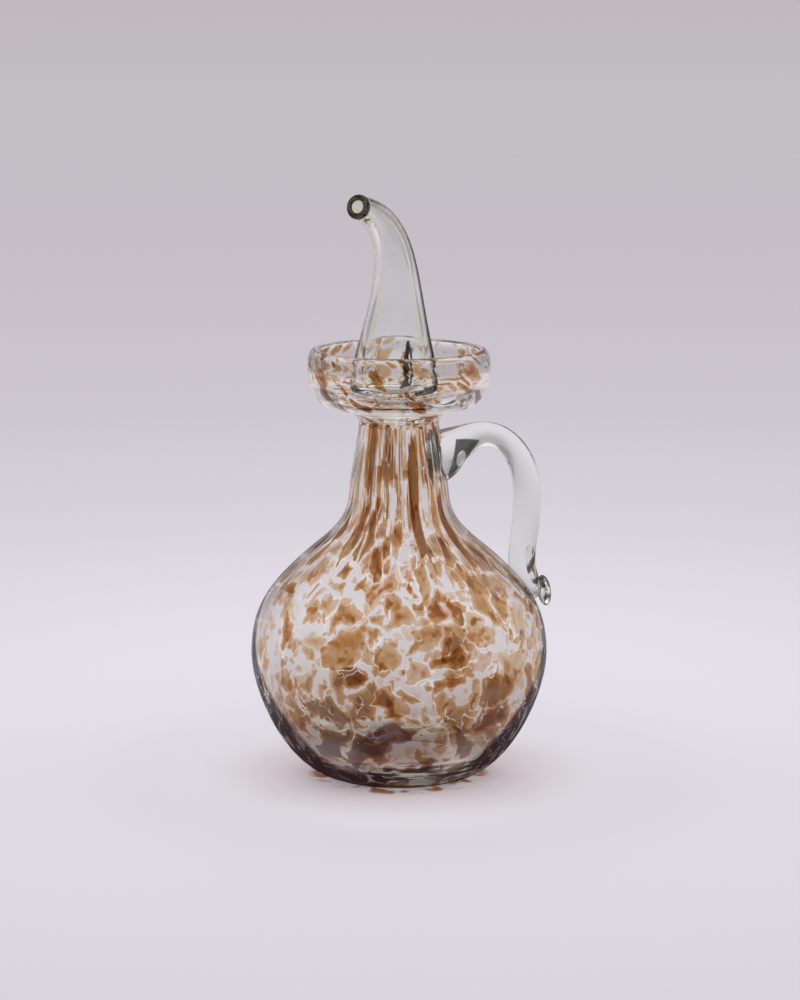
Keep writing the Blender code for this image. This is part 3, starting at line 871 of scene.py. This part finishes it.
def flecked_glass(name):
    """The inner wall is plain and clear, and everything else has the pattern."""
    material, tree = new_material(name)
    wall = wall_values(tree)
    thick, red, line = chip_layers(wall)
    colour = wall_colour(wall, thick, red)
    dark, dark_colour, gaps = dark_places(wall)
    marks, brown_patch = handle_marks(wall)
    colour = times(tree, colour, HANDLE_TINT, wall.added)
    colour = times(tree, colour, PATCH_BROWN, brown_patch)

    # The root of the handle shows through the neck, as a dark olive spot of painted shade.
    root = away_from(tree, wall.at, (0.0140, -0.0080, 0.1320), (1.0, 0.3, 0.36)).over_mm(4.2, 2.6)
    root = root * wall.flecks * wall.cords.smooth(0.40, 0.52)
    dark = (dark + marks).math("MAXIMUM", 0.80 * root)
    dark_colour = root.mix(wall.added.mix(dark_colour, HANDLE_SHADE_OLIVE), ROOT_SHADE_OLIVE)

    bright = pale_places(wall, line, thick, gaps)
    relief = wall.cords * (0.40 + 0.60 * wall.height.over_mm(80, 110))
    bump_inputs = {"Strength": 0.4, "Distance": RELIEF, "Height": relief}
    bump = Wire.make(tree, "ShaderNodeBump", {}, bump_inputs)
    glint = times(tree, colour, GLOW_SHARE)
    outside = glass_with(tree, colour, bump, dark, dark_colour, bright, glint)
    inside = clear_glass(tree, CLEAR)
    patterned = (wall.flecks + wall.added).math("GREATER_THAN", 0.02)
    finish_material(tree, Wire.make(tree, "ShaderNodeMixShader", {}, {0: patterned, 1: inside, 2: outside}))
    return material


# %% [markdown]
# ## Clear glass of the pourer
# The lip of the horn is fire-polished and thick, and one looks along the wall there, so it looks
# dark, and that dark is painted shade. So are the cut faces of the slit, and the horn's edges and
# heel. The lip and the slit are found from the horn's own sizes. Two fine gold lines run up the
# bore, where its wall is seen along: they are painted highlights that glow.

# %% Clear glass with painted shade on the lip and slit
# The last two colours are the horn's painted shade and its painted gold highlight.
HORN_TINT, HORN_SHADE, GOLD_GLINT = (0.95, 0.97, 0.95, 1.0), (0.022, 0.026, 0.018, 1.0), (0.41, 0.32, 0.17, 1.0)
SLIT_NARROWS = 0.21  # half its width, for each length up from its shoulder


def horn_glass(name):
    material, tree = new_material(name)
    at = Wire.make(tree, "ShaderNodeTexCoord", {}, output=3)
    normal = Wire.make(tree, "ShaderNodeTexCoord", {}, output=1)
    facing = Wire.make(tree, "ShaderNodeLayerWeight", {}, {"Blend": 0.5}, 1)
    bore = attribute(tree, "bore", 2)
    height = dot(tree, at, (0.0, 0.0, 1.0))
    sideways_normal = dot(tree, normal, (1.0, 0.0, 0.15))

    rise = math.radians(MOUTH_RISE)
    ahead = Vector((math.cos(POURER_LEAN), math.sin(POURER_LEAN), 0.0)) * math.cos(rise)
    ahead.z = math.sin(rise)
    past_tip = dot(tree, at, ahead) - ahead.dot(in_lean_plane(MOUTH_REACH, MOUTH_HEIGHT))
    lip = past_tip.over_mm(-2.6, -1.8) * (1.0 - bore * past_tip.over_mm(-0.5, -0.9))

    outwards = Vector((math.cos(SLIT_TURN), math.sin(SLIT_TURN), 0.0))
    sideways = Vector((-math.sin(SLIT_TURN), math.cos(SLIT_TURN), 0.0))
    middle = Vector((POURER_OFFSET, 0.0, 0.0))
    out = dot(tree, at, outwards) - outwards.dot(middle)
    aside = (dot(tree, at, sideways) - sideways.dot(middle)).math("ABSOLUTE")
    narrows = (height - SLIT_SHOULDER).math("MAXIMUM", 0.0) * SLIT_NARROWS
    half_width = 0.5 * SLIT_WIDTH + 0.1 * MM - narrows
    slit = (aside - half_width).over_mm(0.15, 0.0) * out.over_mm(8.0, 8.6) * height.over_mm(174.2, 173.8)

    edge = 0.80 * facing.smooth(0.48, 0.72) * sideways_normal.smooth(0.2, 0.8) * height.over_mm(236, 210)
    edge = (edge + 0.25 * facing.smooth(0.76, 0.94)) * (1.0 - bore)
    heel = facing.smooth(0.55, 0.9) * height.over_mm(162, 154)
    dark = (0.88 * lip + 0.85 * slit + edge + 0.6 * heel).math("MINIMUM", 0.92)
    gold = facing.smooth(0.45, 0.72) * bore * height.over_mm(168, 178)
    gold = gold * sideways_normal.math("ABSOLUTE").smooth(0.3, 0.8)
    finish_material(tree, glass_with(tree, HORN_TINT, None, dark, HORN_SHADE, gold, GOLD_GLINT))
    return material


# %% Put the glass on both pieces
for piece, glass in ((bottle, flecked_glass("flecked_blown_glass")), (horn, horn_glass("clear_horn_glass"))):
    piece.data.materials.clear()
    piece.data.materials.append(glass)
    print(glass.name, "has", len(glass.node_tree.nodes), "nodes")

# %% [markdown]
# ## Floor
# The floor is plain and pale. A painted pool of light makes it a little brighter round the bottle
# and greyer far off, and far off it fades into the backdrop, so no line shows where it ends. The
# chips colour the light that falls through them, and that light is painted on: a faint pink lies
# round the foot, and small amber spots lie in front of it. A painted glow also lifts the floor near
# the bottle, where its shadow falls.

# %% Floor
FLOOR_RADIUS = 6.0
POOL_MIDDLE, POOL_REACH = (0.0, 0.12, 0.0), 3.0
# The painted pool of light: the floor's colour from its middle outwards.
POOL = [
    (0.0, (0.825, 0.825, 0.860)),
    (0.05, (0.805, 0.806, 0.838)),
    (0.09, (0.762, 0.760, 0.790)),
    (0.15, (0.700, 0.690, 0.712)),
    (0.31, (0.608, 0.594, 0.634)),
    (0.60, (0.567, 0.546, 0.572)),
    (1.0, (0.540, 0.520, 0.545)),
]
SPOTS_ROUND, SPOTS_OUTWARDS = 4.4, 110.0  # how finely the spots follow each other

bpy.ops.object.select_all(action="DESELECT")
bpy.ops.mesh.primitive_circle_add(vertices=128, radius=FLOOR_RADIUS, fill_type="NGON", location=(0, 0, 0))
floor = bpy.context.object
floor.name = "floor"
material, tree = new_material("pale_floor")
at = Wire.make(tree, "ShaderNodeTexCoord", {}, output=3)
from_pool = vector_math(tree, "DISTANCE", at, POOL_MIDDLE, output=1)
pool = Wire.make(tree, "ShaderNodeValToRGB", {"stops": POOL}, {0: from_pool / POOL_REACH})
from_bottle = away_from(tree, at, (0.0, 0.0, 0.0))
in_front = away_from(tree, at, (0.0, -0.055, 0.0), (0.8, 1.0, 1.0)).over_mm(45, 10)

round_foot = Wire.make(tree, "ShaderNodeVectorMath", {"operation": "NORMALIZE"}, {0: at})
round_foot = vector_math(tree, "MULTIPLY", round_foot, (SPOTS_ROUND, SPOTS_ROUND, SPOTS_ROUND))
outwards = Wire.make(tree, "ShaderNodeCombineXYZ", {}, {"Z": from_bottle * SPOTS_OUTWARDS})
spread = vector_math(tree, "ADD", round_foot, outwards)
# Painted light: small amber spots in front of the foot, in the floor's colour and its glow.
amber = from_bottle.over_mm(38, 33) * dot(tree, at, (0.0, -1.0, 0.0)).over_mm(-12, 4)
amber = amber * noise(tree, spread, 1.0, 1.0).smooth(0.50, 0.64)
pool = times(tree, pool, (0.80, 0.42, 0.22, 1.0), amber)
# Painted light: a faint pink round the foot.
pool = times(tree, pool, (1.0, 0.90, 0.92, 1.0), from_bottle.over_mm(56, 36))

# Painted light: the floor glows near the bottle, most in a ring round it and just in front of it.
halo = from_bottle.over_mm(60, 30) * from_bottle.over_mm(18, 32)
glow = 0.11 * from_bottle.over_mm(120, 50) + 0.05 * in_front + 0.15 * halo
shine = amber.mix(glow.mix((0, 0, 0, 1), (1.0, 0.93, 0.94, 1)), (0.105, 0.040, 0.018, 1))
paper_inputs = {"Base Color": pool, "Roughness": 0.9, "Emission Color": shine, "Emission Strength": 1.0}
paper = Wire.make(tree, "ShaderNodeBsdfPrincipled", {}, paper_inputs)
nothing = Wire.make(tree, "ShaderNodeBsdfTransparent")
fade = from_pool.smooth(2.0, 5.0)
finish_material(tree, Wire.make(tree, "ShaderNodeMixShader", {}, {0: fade, 1: paper, 2: nothing}))
floor.data.materials.append(material)
print("the floor has", len(tree.nodes), "nodes")

# %% [markdown]
# ## The room's light
# A wide soft light is over the bottle. Low down, the room is bright at both sides and grey behind
# the camera. The backdrop is straight behind the bottle, and a grey band at each of its sides
# gives the glass its dark edges. What the camera sees directly is the backdrop alone.

# %% Soft studio light
BACKDROP = [(0.0, (0.574, 0.554, 0.589)), (0.5, (0.512, 0.469, 0.502)), (1.0, (0.49, 0.441, 0.473))]
BESIDE_BACKDROP, AT_THE_SIDES = (0.34, 0.33, 0.345, 1.0), (0.85, 0.82, 0.87, 1.0)
BEHIND_CAMERA, OVERHEAD = (0.38, 0.365, 0.39, 1.0), (1.17, 1.11, 1.18, 1.0)

world = bpy.data.worlds.new("soft_studio")
bpy.context.scene.world = world
world.use_nodes = True
tree = world.node_tree
tree.nodes.clear()
way = Wire.make(tree, "ShaderNodeTexCoord", {}, output=0)
to_side, to_back, upwards = way.split()
level = (to_side * to_side + to_back * to_back).math("SQRT")
ahead = to_back / level.math("MAXIMUM", 0.001)
backdrop = Wire.make(tree, "ShaderNodeValToRGB", {"stops": BACKDROP}, {0: upwards.smooth(-0.12, 0.12)})
room = ahead.smooth(0.75, 0.20).mix(BESIDE_BACKDROP, AT_THE_SIDES)
room = ahead.smooth(0.0, -0.7).mix(room, BEHIND_CAMERA)
room = ahead.smooth(0.93, 0.975).mix(room, backdrop)
light = upwards.smooth(0.30, 0.75).mix(room, OVERHEAD)
camera_ray = Wire.make(tree, "ShaderNodeLightPath", output=0)
sky = Wire.make(tree, "ShaderNodeBackground", {}, {0: camera_ray.mix(light, backdrop), 1: 1.0})
out = tree.nodes.new("ShaderNodeOutputWorld")
tree.links.new(sky.socket, out.inputs["Surface"])
print("the light has", len(tree.nodes), "nodes")

# %% [markdown]
# ## Camera
# It stands in front, a little above the bottle, and aims at the middle of it through a long lens.

# %% Camera and rays
CAMERA_SPOT, AIM = Vector((0.39 * MM, -1.25, 0.3299)), Vector((0.39 * MM, 0.0, 0.1116))
FOCAL_LENGTH, SENSOR_WIDTH = 114.31, 36.0  # millimetres
DEEP_BOUNCES, GLOSSY_BOUNCES = 16, 8  # a ray through bottle, handle and pourer meets many walls

bpy.ops.object.camera_add(location=CAMERA_SPOT)
camera = bpy.context.object
camera.rotation_euler = (AIM - camera.location).to_track_quat("-Z", "Y").to_euler()
camera.data.lens = FOCAL_LENGTH
camera.data.sensor_width = SENSOR_WIDTH
scene = bpy.context.scene
scene.camera = camera
scene.view_settings.view_transform = "Standard"
scene.view_settings.look = "None"
scene.cycles.max_bounces = DEEP_BOUNCES
scene.cycles.transmission_bounces = DEEP_BOUNCES
scene.cycles.transparent_max_bounces = DEEP_BOUNCES
scene.cycles.glossy_bounces = GLOSSY_BOUNCES
print("the camera stands", round((AIM - CAMERA_SPOT).length, 3), "m from what it aims at")

# %% Hand over to the frame
for piece, nodes, slot in (
    (bottle, ("bottle", "handle"), "flecked_glass"),
    (horn, ("spout",), "spout_glass"),
):
    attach(piece, "root")
    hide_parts(*nodes)
